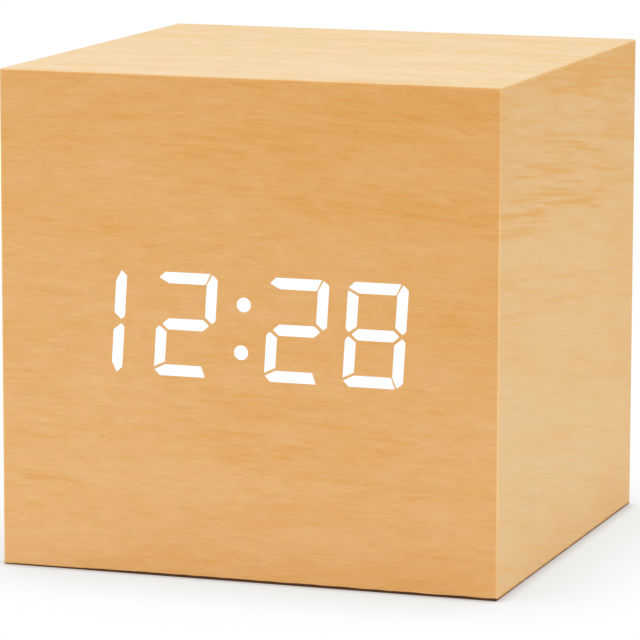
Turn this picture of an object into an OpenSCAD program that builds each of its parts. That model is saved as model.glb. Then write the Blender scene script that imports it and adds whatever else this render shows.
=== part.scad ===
// Wooden cube alarm clock: a veneered fibreboard case with a seven-segment display behind its front,
// and a recessed rear panel with three buttons, a USB socket and a battery bay with a hinged door.
// Millimetres. The front faces -Y, the top faces +Z, the origin is the middle of the base.

/* [Case] */
// Width of the case, left to right
case_w = 62; // [58:0.5:80]
// Depth of the case, front to rear
case_d = 60; // [54:0.5:80]
// Height of the case
case_h = 60; // [56:0.5:80]
// Thickness of the front board; the other boards fill the room between the outside and the hollow
board_t = 4; // [3:0.25:5]
// Thickness of the wood veneer
veneer_t = 0.5; // [0.4:0.05:0.7]
// Rounding of the outer edges, within the veneer
edge_r = 0.35; // [0.1:0.05:0.4]
// Side of the wooden corner blocks behind the rear panel
block_s = 5.5; // [5:0.1:5.8]
// Length of the corner blocks
block_len = 12; // [9:0.5:16]

/* [Display] */
// Height of a digit
digit_h = 12.4; // [9:0.1:13]
// Width of a digit, before it leans
digit_w = 7.4; // [6:0.1:8]
// Width of a segment's stroke
stroke = 1.35; // [1.1:0.05:1.6]
// Gap between neighbouring segments
seg_gap = 0.18; // [0.1:0.02:0.3]
// Cut at the outer corners of a digit
corner_cut = 0.7; // [0.5:0.05:0.9]
// Blunting of a segment's corners, along each edge
tip_cut = 0.08; // [0.06:0.02:0.18]
// Lean of the digits to the right, in degrees
lean = 3.5; // [0:0.25:8]
// Height of the display's middle above the table
display_z = 30.5; // [26:0.1:33]
// Place of the colon, from the middle of the front
colon_x = -0.4; // [-1:0.05:1]
// From the colon to the middle of the hour units digit
hour_offset = 7.1; // [6.4:0.1:7.6]
// From the colon to the middle of the minute tens digit
minute_offset = 6.7; // [6.2:0.1:7.6]
// Distance between the two hour digits
hour_pitch = 11.4; // [9.5:0.1:11.6]
// Distance between the two minute digits
minute_pitch = 9.7; // [9.5:0.1:11.5]
// Diameter of a colon dot
colon_dot = 1.75; // [1.2:0.05:2]
// Height between the two colon dots
colon_spread = 5.7; // [4:0.1:7]
// The colon's middle sits this much under the digits' middle
colon_drop = 0.1; // [0:0.1:1]
// Depth of a light guide inside the reflector
guide_t = 1.6; // [1:0.1:2]
// Wall of the reflector around the digits
reflector_rim = 1.2; // [0.8:0.1:1.4]

/* [Circuit boards] */
// Thickness of a circuit board
pcb_t = 1.6; // [1:0.1:2]
// Strip of the display board above and below the reflector
display_board_strip = 6; // [5.6:0.1:8]
// From the rear panel to the key board
key_depth = 5.6; // [5.2:0.1:7]
// Width of the ribbon cable
ribbon_w = 8.9; // [6:0.1:10]
// Thickness of the ribbon cable
ribbon_t = 0.9; // [0.6:0.1:1.2]
// Diameter of a battery lead
lead_d = 1.2; // [0.8:0.1:1.6]

/* [Rear panel] */
// Thickness of the rear panel
panel_t = 2; // [1.6:0.1:2.4]
// Depth of the panel's outer face inside the rim
panel_recess = 1.5; // [1.4:0.1:2.5]
// Gap between the panel and the case, all round
panel_gap = 0.25; // [0.15:0.05:0.35]
// Edge of the panel on either side of the battery bay
panel_side = 0.9; // [0.6:0.1:2]
// Strip of the panel under the batteries
bay_sill = 2.6; // [2.4:0.1:4]
// Strip of the panel above the batteries, for buttons and sockets
strip_h = 15.5; // [15.2:0.1:20]
// Rounding of the panel's corners
panel_r = 1; // [0.5:0.1:1.2]
// Width of each tongue under the panel
tongue_w = 8; // [5:0.5:12]
// Distance of each tongue from the middle
tongue_x = 16; // [10:0.5:18]
// Diameter of the buzzer
buzzer_d = 8.5; // [7:0.1:9]

/* [Buttons] */
// Diameter of a button
button_d = 5; // [4:0.1:5.4]
// Distance between buttons
button_pitch = 7.5; // [6.8:0.1:7.8]
// How far a button stands out of the panel
button_rise = 0.8; // [0.6:0.05:1.2]
// How far a button goes in
button_travel = 0.5; // [0.3:0.05:0.5]
// Gap around a button in its hole
button_gap = 0.1; // [0.06:0.02:0.2]

/* [Batteries] */
// Diameter of a cell
cell_d = 10.5; // [9.5:0.1:12]
// Length of a cell with its button
cell_len = 44.5; // [40:0.5:48]
// Number of cells
cell_count = 3; // [3]
// Room between neighbouring cells
cell_gap = 0.3; // [0.2:0.05:0.4]
// Wall of the battery bay
bay_wall = 1.2; // [1:0.1:1.4]
// Length of a pressed contact spring
spring_len = 3; // [2.8:0.1:3.2]
// Thickness of the contact plates
contact_t = 0.4; // [0.3:0.05:0.5]

/* [Battery door] */
// Thickness of the door
door_t = 1.4; // [1.2:0.1:1.6]
// Gap around the door
door_gap = 0.25; // [0.2:0.05:0.35]
// Rounding of the door's lower corners
door_r = 1; // [0.5:0.1:1.2]
// Radius of the rolled edge on the hinge
hinge_r = 1; // [0.9:0.05:1.1]
// Diameter of the hinge pins
pin_d = 1.2; // [1:0.1:1.4]
// Running clearance around a hinge pin
pin_gap = 0.05; // [0.03:0.01:0.08]
// Width of the thumb tab under the door
thumb_w = 9; // [6:0.5:12]

/* [Hidden] */
$fn = 48;

// Overshoot of every cut
cut = 1;

// Display: middles of the digits and ends of the block that holds the segments
du = digit_w / 2;
dv = digit_h / 2;
lean_run = dv * tan(lean);
hour_units_x = colon_x - hour_offset;
hour_tens_x = hour_units_x - hour_pitch;
minute_tens_x = colon_x + minute_offset;
minute_units_x = minute_tens_x + minute_pitch;
// The time shown, 12:28: middle of each digit and its lit segments
HOUR_TENS = [hour_tens_x, "bc"];
HOUR_UNITS = [hour_units_x, "abdeg"];
MINUTE_TENS = [minute_tens_x, "abdeg"];
MINUTE_UNITS = [minute_units_x, "abcdefg"];
DIGITS = [HOUR_TENS, HOUR_UNITS, MINUTE_TENS, MINUTE_UNITS];
block_x0 = hour_tens_x - du - lean_run - reflector_rim;
block_x1 = minute_units_x + du + lean_run + reflector_rim;

// What the case holds: the wider of the battery bay and the display board sets the hollow's width,
// and the rear panel's height sets its height
bay_len = cell_len + spring_len + 2 * contact_t;
bay_x = bay_len / 2;
bay_pitch = cell_d + cell_gap;
bay_h = cell_count * bay_pitch;
pcb_edge = 1;
pcb_x0 = block_x0 - pcb_edge;
pcb_x1 = block_x1 + pcb_edge;
pcb_side_gap = 0.5;
bay_half = bay_x + bay_wall + panel_side + panel_gap;
hollow_x = max(bay_half, pcb_side_gap - pcb_x0, pcb_side_gap + pcb_x1);
panel_x = hollow_x - panel_gap;
panel_h = bay_sill + bay_h + strip_h;
hollow_h = panel_h + 2 * panel_gap;

// Case: faces of the boards, which lie between the veneer and the hollow
front_y = -case_d / 2;
rear_y = case_d / 2;
board_y0 = front_y + veneer_t;
board_y1 = board_y0 + board_t;
rim_y = rear_y - veneer_t;
core_x = case_w / 2 - veneer_t;
core_z0 = veneer_t;
core_z1 = case_h - veneer_t;
hollow_z0 = (case_h - hollow_h) / 2;
hollow_z1 = hollow_z0 + hollow_h;

// Screws
screw_r = 1;
screw_gap = 0.05;
screw_head_r = 1.8;
screw_head_t = 1.2;
recess_len = 2;
recess_w = 0.5;
recess_depth = 0.6;

// Display: the block that holds the segments
block_z0 = display_z - dv - reflector_rim;
block_z1 = display_z + dv + reflector_rim;
block_r = 1;
window_gap = 0.15;
led_len = 1.4;
led_w = 0.8;
led_t = 0.7;

// Display board and what sits on it
pcb_z0 = block_z0 - display_board_strip;
pcb_z1 = block_z1 + display_board_strip;
pcb_y0 = board_y1;
pcb_y1 = pcb_y0 + pcb_t;
pcb_screw_inset = 3;
pcb_screw_depth = 2.4;
pilot_spare = 0.3;
pcb_hole_gap = 0.1;
chip_len = 9.9;
chip_w = 3.9;
chip_t = 1.5;
leg_pitch = 1.27;
leg_w = 0.4;
leg_reach = 1.05;
leg_t = 0.6;
legs_per_side = 8;
chip_x = -12;
driver_z = block_z0 + chip_w / 2 + leg_reach;
controller_z = block_z1 - chip_w / 2 - leg_reach;
crystal_r = 1;
crystal_len = 6;
crystal_x = -2.5;
capacitor_r = 2.5;
capacitor_len = 6.5;
crimp_rise = 1.4;
crimp_w = 0.8;
crimp_in = 0.3;
capacitor_x = 12;
capacitor_z = block_z0 + capacitor_r;
resistor_len = 2;
resistor_w = 1.25;
resistor_t = 0.5;
resistor_pitch = 2.4;
resistor_count = 7;
resistor_x = 1;
header_wall = 0.8;
header_w = ribbon_w + 2 * header_wall;
header_h = 3.2;
header_len = 6;
ribbon_x = 6;

// Rear panel
panel_y1 = rear_y - panel_recess;
panel_y0 = panel_y1 - panel_t;
panel_z0 = hollow_z0 + panel_gap;
panel_z1 = panel_z0 + panel_h;
tongue_t = 1.2;
tongue_h = 1.6;
tongue_gap = 0.2;
block_screw_shift = 0.25;
block_screw_in = block_s / 2 + block_screw_shift;
panel_screw_x = hollow_x - block_screw_in;
panel_screw_z = hollow_z1 - block_screw_in;
panel_screw_depth = 7;
panel_screw_spare = 0.5;
counterbore_gap = 0.2;
counterbore_depth = 1.1;

// Battery bay
bay_z0 = panel_z0 + bay_sill;
bay_z1 = bay_z0 + bay_h;
door_seat_gap = 0.1;
bay_y1 = panel_y1 - door_t - door_seat_gap;
cell_play = 0.2;
bay_y0 = bay_y1 - cell_d - 2 * cell_play;
cell_y = bay_y0 + cell_play + cell_d / 2;
cradle_h = 3;
cell_button_r = 1.9;
cell_button_h = 0.9;
cell_edge = 0.6;
plate_s = 7;
link_w = 4;
tab_w = 3;
tab_reach = 1.4;
tab_gap = 0.1;
tab_y0 = bay_y0 - bay_wall - tab_reach;
wire_r = 0.25;
spring_r0 = 3;
spring_r1 = 1.7;
spring_turns = 2.5;
spring_rings = 8;
spring_sides = 6;

// Battery door and its hinge line
door_lap = 0.75;
door_x = bay_x + door_lap;
door_z0 = bay_z0 - door_lap;
hinge_y = panel_y1 - hinge_r;
hinge_z = bay_z1 + bay_wall + door_gap;
trough_r = hinge_r + door_gap;
trough_wall = 0.8;
pin_hold = 0.7;
pin_len = door_gap + pin_hold;
thumb_h = 0.9;
grip_count = 4;
grip_pitch = 1.6;
grip_w = 14;
grip_rise = 0.4;
grip_t = 0.7;

// Key board and what sits on it
key_y1 = panel_y0 - key_depth;
key_y0 = key_y1 - pcb_t;
key_bottom_gap = 0.5;
key_top_gap = 0.6;
key_side = 0.4;
key_z0 = hinge_z + trough_r + trough_wall + key_bottom_gap;
key_z1 = panel_z1 - key_top_gap;
key_x = bay_x + key_side;
key_notch_gap = 0.4;
post_r = 1.9;
post_x = 9.5;
post_rise = 2;
post_z = key_z0 + post_rise;
post_screw_depth = 4.2;
post_screw_spare = 0.4;
button_drop = 4.4;
button_z = panel_z1 - button_drop;
flange_over = 0.8;
flange_t = 0.7;
button_edge = 0.4;
button_dish = 0.25;
switch_s = 6;
switch_h = 3.4;
plunger_r = 1.7;
plunger_gap = 0.1;
plunger_in = 1;
plunger_room = 0.1;
usb_w = 8.94;
usb_h = 3.26;
usb_wall = 0.3;
usb_gap = 0.18;
usb_sink = 0.2;
usb_in = 10;
usb_x = hollow_x - usb_in;
usb_rise = 3.2;
usb_z = key_z0 + usb_rise;
usb_floor = 1.2;
tongue_usb_w = 6.7;
tongue_usb_t = 0.7;
tongue_usb_sink = 0.9;
buzzer_h = 4.4;
buzzer_side = 0.35;
buzzer_x = block_s + buzzer_side + buzzer_d / 2 - hollow_x;
buzzer_low = 0.1;
buzzer_z = key_z0 + buzzer_d / 2 - buzzer_low;
buzzer_hole_r = 0.6;
buzzer_hole_ring = 2.2;
buzzer_hole_count = 6;
buzzer_mouth_r = 1;
mic_r = 2;
mic_h = 2.4;
mic_z = post_z;
mic_hole_r = 0.7;
lead_bend_in = 1.5;
lead_bend_out = 2;
lead_y = tab_y0 - lead_d / 2 - lead_bend_in;
lead_x = bay_x - contact_t / 2;
lead_rise = 1.2;
lead_z1 = key_z0 + lead_rise;

// Outline of a centred rectangle with round corners
module rounded_rect(w, h, r) {
    union() {
        square([w - 2 * r, h], center = true);
        square([w, h - 2 * r], center = true);
        for (sx = [-1, 1], sz = [-1, 1]) {
            translate([sx * (w / 2 - r), sz * (h / 2 - r)]) circle(r);
        }
    }
}

// A slot with half-round ends
module slot(w, h) {
    union() {
        square([w - h, h], center = true);
        for (sx = [-1, 1]) {
            translate([sx * (w - h) / 2, 0]) circle(h / 2);
        }
    }
}

// Draw in X and Z, and fill from y0 back to y1
module upright(y0, y1) {
    translate([0, y1, 0]) rotate([90, 0, 0]) linear_extrude(y1 - y0) children();
}

// Draw in Y and Z, and fill from x0 to x1
module sideways(x0, x1) {
    translate([x0, 0, 0]) rotate([90, 0, 90]) linear_extrude(x1 - x0) children();
}

// A box given by its two opposite corners
module span(a, b) {
    translate(a) cube(b - a);
}

// A round rod along Y
module rod_y(r, y0, y1, x, z) {
    translate([x, y1, z]) rotate([90, 0, 0]) cylinder(r = r, h = y1 - y0);
}

// A round rod along X
module rod_x(r, x0, x1, y, z) {
    translate([x0, y, z]) rotate([0, 90, 0]) cylinder(r = r, h = x1 - x0);
}

// A pan-head screw along Y; its head lies on the face at y and looks along side (1 or -1)
module screw(y, side, len, x, z) {
    translate([x, y, z]) rotate([-90 * side, 0, 0]) difference() {
        union() {
            cylinder(r = screw_head_r, h = screw_head_t);
            translate([0, 0, -len]) cylinder(r = screw_r, h = len + screw_head_t / 2);
        }
        for (turn = [0, 90]) {
            rotate([0, 0, turn]) translate([-recess_len / 2, -recess_w / 2, screw_head_t - recess_depth])
                cube([recess_len, recess_w, recess_depth + cut]);
        }
    }
}

// The whole clock's outside as one block with rounded edges
module outer_block() {
    intersection() {
        linear_extrude(case_h) rounded_rect(case_w, case_d, edge_r);
        translate([0, 0, case_h / 2]) upright(front_y, rear_y) rounded_rect(case_w, case_h, edge_r);
        translate([0, 0, case_h / 2]) sideways(-case_w / 2, case_w / 2)
            rounded_rect(case_d, case_h, edge_r);
    }
}

// Seven-segment digit: outlines upright about the digit's middle, u to the right and v up
mitre_run = 0.42 * stroke;
mitre_gap = 0.8 * seg_gap;
TOP_BAR = [
    [-du + seg_gap / 2, dv - corner_cut],
    [-du + seg_gap / 2 + corner_cut, dv],
    [du - stroke + mitre_run - mitre_gap, dv],
    [du - stroke - mitre_gap, dv - stroke],
    [-du + stroke, dv - stroke]
];
UPPER_RIGHT = [
    [du - corner_cut, dv - seg_gap / 2],
    [du, dv - corner_cut],
    [du, corner_cut - seg_gap / 3],
    [du - 0.31 * stroke, 1.3 * seg_gap],
    [du - stroke, stroke / 2 + 1.9 * seg_gap],
    [du - stroke, dv - stroke]
];
UPPER_LEFT = [
    [-du, dv - corner_cut - 1.75 * seg_gap],
    [-du + stroke, dv - stroke - 1.85 * seg_gap],
    [-du + stroke, stroke / 2 + 1.4 * seg_gap],
    [-du + 0.28 * stroke, 1.3 * seg_gap],
    [-du, corner_cut]
];
MIDDLE_BAR = [
    [-du + corner_cut + 0.4 * seg_gap, 0],
    [-du + stroke + seg_gap, stroke / 2],
    [du - stroke - seg_gap, stroke / 2],
    [du - corner_cut - 0.4 * seg_gap, 0],
    [du - stroke - seg_gap, -stroke / 2],
    [-du + stroke + seg_gap, -stroke / 2]
];
// An outline with each corner cut off between two points, tip_cut away from it along its edges
function blunted(points) = [
    for (i = [0 : len(points) - 1], step = [-1, 1])
        let (p = points[i], next = points[(i + step + len(points)) % len(points)])
        p + tip_cut * unit(next - p)
];
function flipped(points) = [for (p = points) [p[0], -p[1]]];
function leaned(points) = [for (p = points) [p[0] + p[1] * tan(lean), p[1]]];
function segment(s) =
    s == "a" ? TOP_BAR :
    s == "b" ? UPPER_RIGHT :
    s == "c" ? flipped(UPPER_RIGHT) :
    s == "d" ? flipped(TOP_BAR) :
    s == "e" ? flipped(UPPER_LEFT) :
    s == "f" ? UPPER_LEFT : MIDDLE_BAR;
function total(points, k, i = 0) = i == len(points) ? 0 : points[i][k] + total(points, k, i + 1);
function middle(points) = [total(points, 0) / len(points), total(points, 1) / len(points)];
function is_lit(s, lit) = len(search(s, lit)) > 0;

// Outlines of those of a digit's segments named in a string
module segments_2d(digit, names) {
    for (s = names) {
        translate([digit[0], display_z]) polygon(leaned(blunted(segment(s))));
    }
}

// Outlines of the two colon dots, set along the digits' lean
module colon_2d() {
    for (side = [-1, 1]) {
        v = side * colon_spread / 2;
        translate([colon_x + v * tan(lean), display_z - colon_drop + v]) circle(d = colon_dot);
    }
}

// Outlines of everything that is lit
module lit_2d() {
    for (digit = DIGITS) {
        segments_2d(digit, digit[1]);
    }
    colon_2d();
}

// Outline of the reflector block, or of its window when grown
module reflector_2d(grow) {
    w = block_x1 - block_x0 + 2 * grow;
    h = block_z1 - block_z0 + 2 * grow;
    translate([(block_x0 + block_x1) / 2, (block_z0 + block_z1) / 2]) rounded_rect(w, h, block_r);
}

// Case boards: a mitred shell of five boards

module front_board() {
    color("#b08a5c") difference() {
        intersection() {
            translate([0, 0, core_z0]) linear_extrude(core_z1 - core_z0) polygon([
                [-core_x, board_y0], [core_x, board_y0], [hollow_x, board_y1], [-hollow_x, board_y1]
            ]);
            sideways(-core_x, core_x) polygon([
                [board_y0, core_z0], [board_y0, core_z1], [board_y1, hollow_z1], [board_y1, hollow_z0]
            ]);
        }
        upright(board_y0 - cut, board_y1 + cut) reflector_2d(window_gap);
        display_screw_places() {
            rod_y(screw_r + screw_gap, board_y1 - pcb_screw_depth - pilot_spare, board_y1 + cut, 0, 0);
        }
    }
}

module side_board() {
    intersection() {
        translate([0, 0, core_z0]) linear_extrude(core_z1 - core_z0) polygon([
            [core_x, board_y0], [core_x, rim_y], [hollow_x, rim_y], [hollow_x, board_y1]
        ]);
        upright(board_y0, rim_y) polygon([
            [core_x, core_z0], [core_x, core_z1], [hollow_x, hollow_z1], [hollow_x, hollow_z0]
        ]);
    }
}

module right_board() {
    color("#b08a5c") side_board();
}

module left_board() {
    color("#b08a5c") mirror([1, 0, 0]) side_board();
}

module top_board() {
    color("#b08a5c") intersection() {
        sideways(-core_x, core_x) polygon([
            [board_y0, core_z1], [rim_y, core_z1], [rim_y, hollow_z1], [board_y1, hollow_z1]
        ]);
        upright(board_y0, rim_y) polygon([
            [-core_x, core_z1], [core_x, core_z1], [hollow_x, hollow_z1], [-hollow_x, hollow_z1]
        ]);
    }
}

module base_board() {
    color("#b08a5c") difference() {
        intersection() {
            sideways(-core_x, core_x) polygon([
                [board_y0, core_z0], [rim_y, core_z0], [rim_y, hollow_z0], [board_y1, hollow_z0]
            ]);
            upright(board_y0, rim_y) polygon([
                [-core_x, core_z0], [core_x, core_z0], [hollow_x, hollow_z0], [-hollow_x, hollow_z0]
            ]);
        }
        for (side = [-1, 1]) {
            translate([side * tongue_x, 0, 0]) span(
                [-tongue_w / 2 - tongue_gap, panel_y0 - tongue_gap, panel_z0 - tongue_h - tongue_gap],
                [tongue_w / 2 + tongue_gap, panel_y0 + tongue_t + tongue_gap, hollow_z0 + cut]
            );
        }
    }
}

module corner_blocks() {
    color("#c9a874") for (side = [-1, 1]) {
        difference() {
            span(
                [side > 0 ? hollow_x - block_s : -hollow_x, panel_y0 - block_len, hollow_z1 - block_s],
                [side > 0 ? hollow_x : block_s - hollow_x, panel_y0, hollow_z1]
            );
            rod_y(screw_r + screw_gap, panel_y0 - panel_screw_depth, panel_y0 + cut,
                side * panel_screw_x, panel_screw_z);
        }
    }
}

// Veneer: one sheet wrapped over front and sides, and sheets for top, base and rear rim

module veneer_wrap() {
    color("#dba869") difference() {
        intersection() {
            outer_block();
            span([-case_w, front_y - cut, core_z0], [case_w, rim_y, core_z1]);
        }
        span([-core_x, board_y0, core_z0 - cut], [core_x, rim_y + cut, core_z1 + cut]);
        upright(front_y - cut, board_y0 + cut) lit_2d();
    }
}

module veneer_top() {
    color("#e6bf8a") intersection() {
        outer_block();
        span([-case_w, -case_d, core_z1], [case_w, case_d, case_h + cut]);
    }
}

module veneer_base() {
    color("#8a6238") intersection() {
        outer_block();
        span([-case_w, -case_d, -cut], [case_w, case_d, core_z0]);
    }
}

module veneer_rim() {
    color("#dba869") difference() {
        intersection() {
            outer_block();
            span([-case_w, rim_y, core_z0], [case_w, rear_y + cut, core_z1]);
        }
        span([-hollow_x, rim_y - cut, hollow_z0], [hollow_x, rear_y + cut, hollow_z1]);
    }
}

// Display

module display_reflector() {
    color("#f2f2ee") difference() {
        upright(board_y0, board_y1) reflector_2d(0);
        upright(board_y0 - cut, board_y1 + cut) {
            for (digit = DIGITS) {
                segments_2d(digit, "abcdefg");
            }
            colon_2d();
        }
    }
}

// The lit segments of one digit: light guides that reach the front face
module lit_digit(digit) {
    color("#ffffff") for (s = digit[1]) {
        upright(front_y, board_y0 + guide_t) segments_2d(digit, s);
    }
}

module hour_tens_digit() {
    lit_digit(HOUR_TENS);
}

module hour_units_digit() {
    lit_digit(HOUR_UNITS);
}

module minute_tens_digit() {
    lit_digit(MINUTE_TENS);
}

module minute_units_digit() {
    lit_digit(MINUTE_UNITS);
}

module colon_dots() {
    color("#ffffff") upright(front_y, board_y0 + guide_t) colon_2d();
}

module unlit_segments() {
    color("#dfe3e4") for (digit = DIGITS, s = "abcdefg") {
        if (!is_lit(s, digit[1])) {
            upright(board_y0, board_y0 + guide_t) segments_2d(digit, s);
        }
    }
}

module led_chip() {
    translate([-led_len / 2, -led_t, -led_w / 2]) cube([led_len, led_t, led_w]);
}

module led_chips() {
    color("#f4e7a8") {
        for (digit = DIGITS, s = "abcdefg") {
            at = middle(leaned(segment(s)));
            turn = is_lit(s, "adg") ? 0 : 90 + lean;
            translate([digit[0] + at[0], pcb_y0, display_z + at[1]]) rotate([0, turn, 0]) led_chip();
        }
        for (side = [-1, 1]) {
            v = side * colon_spread / 2;
            translate([colon_x + v * tan(lean), pcb_y0, display_z - colon_drop + v]) led_chip();
        }
    }
}

// Set the children at the display board's four screws
module display_screw_places() {
    for (x = [pcb_x0 + pcb_screw_inset, pcb_x1 - pcb_screw_inset]) {
        for (z = [pcb_z0 + pcb_screw_inset, pcb_z1 - pcb_screw_inset]) {
            translate([x, 0, z]) children();
        }
    }
}

module display_board() {
    color("#1f5a38") difference() {
        span([pcb_x0, pcb_y0, pcb_z0], [pcb_x1, pcb_y1, pcb_z1]);
        display_screw_places() rod_y(screw_r + pcb_hole_gap, pcb_y0 - cut, pcb_y1 + cut, 0, 0);
    }
}

module display_board_screws() {
    color("#9a9a98") display_screw_places() screw(pcb_y1, 1, pcb_t + pcb_screw_depth, 0, 0);
}

// A chip with a row of legs along each long side, on the display board's rear face
module chip(x, z) {
    union() {
        span(
            [x - chip_len / 2, pcb_y1, z - chip_w / 2],
            [x + chip_len / 2, pcb_y1 + chip_t, z + chip_w / 2]
        );
        for (i = [0 : legs_per_side - 1], side = [-1, 1]) {
            leg_x = x + (i - (legs_per_side - 1) / 2) * leg_pitch;
            leg_z = z + side * (chip_w + leg_reach) / 2;
            translate([leg_x - leg_w / 2, pcb_y1, leg_z - leg_reach / 2]) cube([leg_w, leg_t, leg_reach]);
        }
    }
}

module controller_chip() {
    color("#2a2a2c") chip(chip_x, controller_z);
}

module driver_chip() {
    color("#2a2a2c") chip(chip_x, driver_z);
}

module watch_crystal() {
    color("#c4c6c8") translate([crystal_x, pcb_y1 + crystal_r, display_z - crystal_len / 2])
        cylinder(r = crystal_r, h = crystal_len);
}

module capacitor() {
    color("#3a4a6a") translate([capacitor_x, pcb_y1, capacitor_z]) rotate([-90, 0, 0]) rotate_extrude()
        polygon([
            [0, 0], [capacitor_r, 0], [capacitor_r, crimp_rise - crimp_w / 2],
            [capacitor_r - crimp_in, crimp_rise], [capacitor_r, crimp_rise + crimp_w / 2],
            [capacitor_r, capacitor_len], [0, capacitor_len]
        ]);
}

module chip_resistors() {
    color("#303236") for (i = [0 : resistor_count - 1]) {
        translate([resistor_x + i * resistor_pitch, pcb_y1, display_z - resistor_len / 2])
            cube([resistor_w, resistor_t, resistor_len]);
    }
}

// Ribbon cable: two equal arcs between the headers, level where it enters each of them
header_z = block_z1 - header_h / 2;
key_header_z = (key_z0 + key_z1) / 2;
ribbon_y0 = pcb_y1 + header_len;
ribbon_y1 = key_y0 - header_len;
ribbon_rise = key_header_z - header_z;
ribbon_run = ribbon_y1 - ribbon_y0;
ribbon_turn = 2 * atan(ribbon_rise / ribbon_run);
ribbon_r = ribbon_run / (2 * sin(ribbon_turn));

module header(y0, y1, z) {
    span([ribbon_x - header_w / 2, y0, z - header_h / 2], [ribbon_x + header_w / 2, y1, z + header_h / 2]);
}

module display_header() {
    color("#e8e4d6") header(pcb_y1, ribbon_y0, header_z);
}

module key_board_header() {
    color("#e8e4d6") header(ribbon_y1, key_y0, key_header_z);
}

// Points of the cable in Y and Z, moved off its middle line by off: first arc, then second
ribbon_steps = 8;
function ribbon_points(off) = concat(
    [for (i = [0 : ribbon_steps]) let (a = ribbon_turn * i / ribbon_steps, r = ribbon_r - off)
        [ribbon_y0 + r * sin(a), header_z + ribbon_r - r * cos(a)]],
    [for (i = [1 : ribbon_steps]) let (a = ribbon_turn * (1 - i / ribbon_steps), r = ribbon_r + off)
        [ribbon_y1 - r * sin(a), key_header_z - ribbon_r + r * cos(a)]]
);
function backwards(points) = [for (i = [len(points) - 1 : -1 : 0]) points[i]];

module ribbon_cable() {
    color("#8f9298") sideways(ribbon_x - ribbon_w / 2, ribbon_x + ribbon_w / 2)
        polygon(concat(ribbon_points(ribbon_t / 2), backwards(ribbon_points(-ribbon_t / 2))));
}

// Rear panel and its battery bay

// Middle height of a cell, counted from the bottom
function cell_z(i) = bay_z0 + (i + 0.5) * bay_pitch;

// Set the children at each button, numbered -1, 0 and 1 from left to right seen from the front
module at_button(i) {
    translate([i * button_pitch, 0, button_z]) children();
}

module panel_plate() {
    translate([0, 0, (panel_z0 + panel_z1) / 2]) upright(panel_y0, panel_y1)
        rounded_rect(2 * panel_x, panel_h, panel_r);
    for (side = [-1, 1]) {
        translate([side * tongue_x, 0, 0]) span(
            [-tongue_w / 2, panel_y0, panel_z0 - tongue_h],
            [tongue_w / 2, panel_y0 + tongue_t, panel_z0 + cut]
        );
        rod_y(post_r, key_y1, panel_y0 + panel_t / 2, side * post_x, post_z);
    }
    span(
        [-bay_x - bay_wall, bay_y0 - bay_wall, bay_z0 - bay_wall],
        [bay_x + bay_wall, panel_y0 + panel_t / 2, bay_z1 + bay_wall]
    );
    span(
        [-bay_x - bay_wall, hinge_y - trough_r - trough_wall, bay_z1],
        [bay_x + bay_wall, panel_y0 + panel_t / 2, hinge_z + trough_r + trough_wall]
    );
}

// Room for the cells: an open box over three round cradles
module bay_room() {
    span([-bay_x, bay_y0 + cradle_h, bay_z0], [bay_x, panel_y1 + cut, bay_z1]);
    for (i = [0 : cell_count - 1]) {
        rod_x(cell_d / 2 + cell_play, -bay_x, bay_x, cell_y, cell_z(i));
    }
    for (side = [-1, 1]) {
        z = side > 0 ? cell_z(cell_count - 1) : cell_z(0);
        span(
            [side > 0 ? bay_x - contact_t - tab_gap : -bay_x, tab_y0, z - tab_w / 2 - tab_gap],
            [side > 0 ? bay_x : contact_t + tab_gap - bay_x, cell_y, z + tab_w / 2 + tab_gap]
        );
    }
}

// Outline of the door under its hinge line, with round lower corners, or of its room when grown
module door_2d(grow) {
    x = door_x + grow;
    z0 = door_z0 - grow;
    r = door_r + grow;
    union() {
        translate([-x, z0 + r]) square([2 * x, hinge_z - z0 - r]);
        translate([r - x, z0]) square([2 * (x - r), hinge_z - z0]);
        for (side = [-1, 1]) {
            translate([side * (x - r), z0 + r]) circle(r);
        }
    }
}

// Room for the door, its rolled edge, its pins and its thumb tab
module door_room() {
    x = door_x + door_gap;
    upright(bay_y1, panel_y1 + cut) door_2d(door_gap);
    span([-x, hinge_y - trough_r, hinge_z - trough_r], [x, panel_y1 + cut, hinge_z + trough_r]);
    rod_x(pin_d / 2 + pin_gap, -panel_x - cut, panel_x + cut, hinge_y, hinge_z);
    span(
        [-thumb_w / 2 - door_gap, bay_y1, door_z0 - thumb_h - door_gap],
        [thumb_w / 2 + door_gap, panel_y1 + cut, door_z0]
    );
}

// Openings of the upper strip: buttons, socket, buzzer, microphone and screws
module panel_openings() {
    for (i = [-1 : 1]) {
        at_button(i) rod_y(button_d / 2 + button_gap, panel_y0 - cut, panel_y1 + cut, 0, 0);
    }
    translate([usb_x, 0, usb_z]) upright(panel_y0 - cut, panel_y1 + cut)
        slot(usb_w + 2 * usb_gap, usb_h + 2 * usb_gap);
    rod_y(buzzer_hole_r, panel_y0 - cut, panel_y1 + cut, buzzer_x, buzzer_z);
    for (i = [0 : buzzer_hole_count - 1]) {
        turn = i * 360 / buzzer_hole_count;
        rod_y(buzzer_hole_r, panel_y0 - cut, panel_y1 + cut,
            buzzer_x + buzzer_hole_ring * cos(turn), buzzer_z + buzzer_hole_ring * sin(turn));
    }
    rod_y(mic_hole_r, panel_y0 - cut, panel_y1 + cut, 0, mic_z);
    for (side = [-1, 1]) {
        rod_y(screw_r + pcb_hole_gap, panel_y0 - cut, panel_y1 + cut, side * panel_screw_x, panel_screw_z);
        rod_y(screw_head_r + counterbore_gap, panel_y1 - counterbore_depth, panel_y1 + cut,
            side * panel_screw_x, panel_screw_z);
        rod_y(screw_r + screw_gap, key_y1 - cut, key_y1 + post_screw_depth, side * post_x, post_z);
    }
}

module rear_panel() {
    color("#1c1c1e") difference() {
        union() {
            panel_plate();
        }
        bay_room();
        door_room();
        panel_openings();
    }
}

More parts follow.
